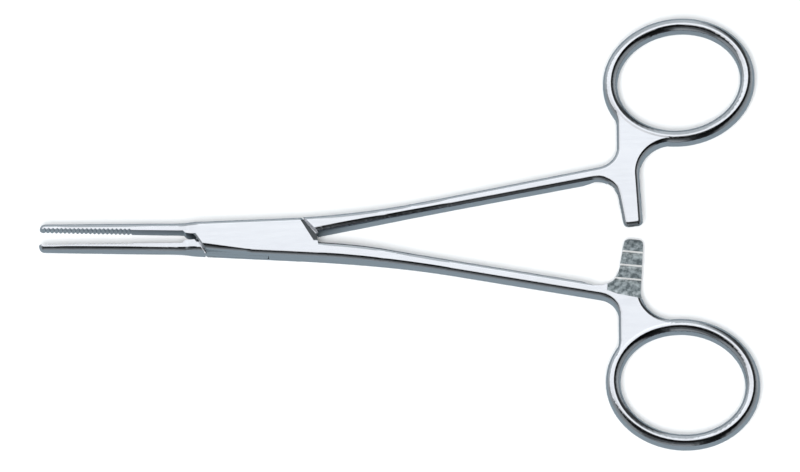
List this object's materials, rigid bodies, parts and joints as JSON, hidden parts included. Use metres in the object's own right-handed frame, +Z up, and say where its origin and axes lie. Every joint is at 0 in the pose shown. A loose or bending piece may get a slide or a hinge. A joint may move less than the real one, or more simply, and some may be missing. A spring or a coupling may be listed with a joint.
{
  "type": "hemostatic forceps",
  "caption": "Straight haemostatic forceps in stainless steel with serrated jaws, a box lock hinge, interlocking ratchet bars and oval finger rings, a little open.",
  "frame": {"origin": "on the axis of the hinge pin, at the underside plane that the box lock rests on", "axes": "+X from the hinge towards the finger rings along the middle line of the jaws, +Y towards the tongued half's ring, +Z up along the hinge pin"},
  "size_m": [0.1398, 0.0882, 0.0044],
  "materials": {
    "steel": "satin polished stainless steel",
    "pin_steel": "satin polished stainless steel, ground flush"
  },
  "bodies": {
    "slotted_half": {"slotted_half": "steel", "hinge_pin": "pin_steel"},
    "tongued_half": {"tongued_half": "steel"}
  },
  "joints": [
    {"name": "box_lock", "type": "hinge", "parent": "slotted_half", "child": "tongued_half", "pos_m": [0, 0, 0], "axis": [0, 0, 1], "range_deg": [-4.3, 56]}
  ]
}
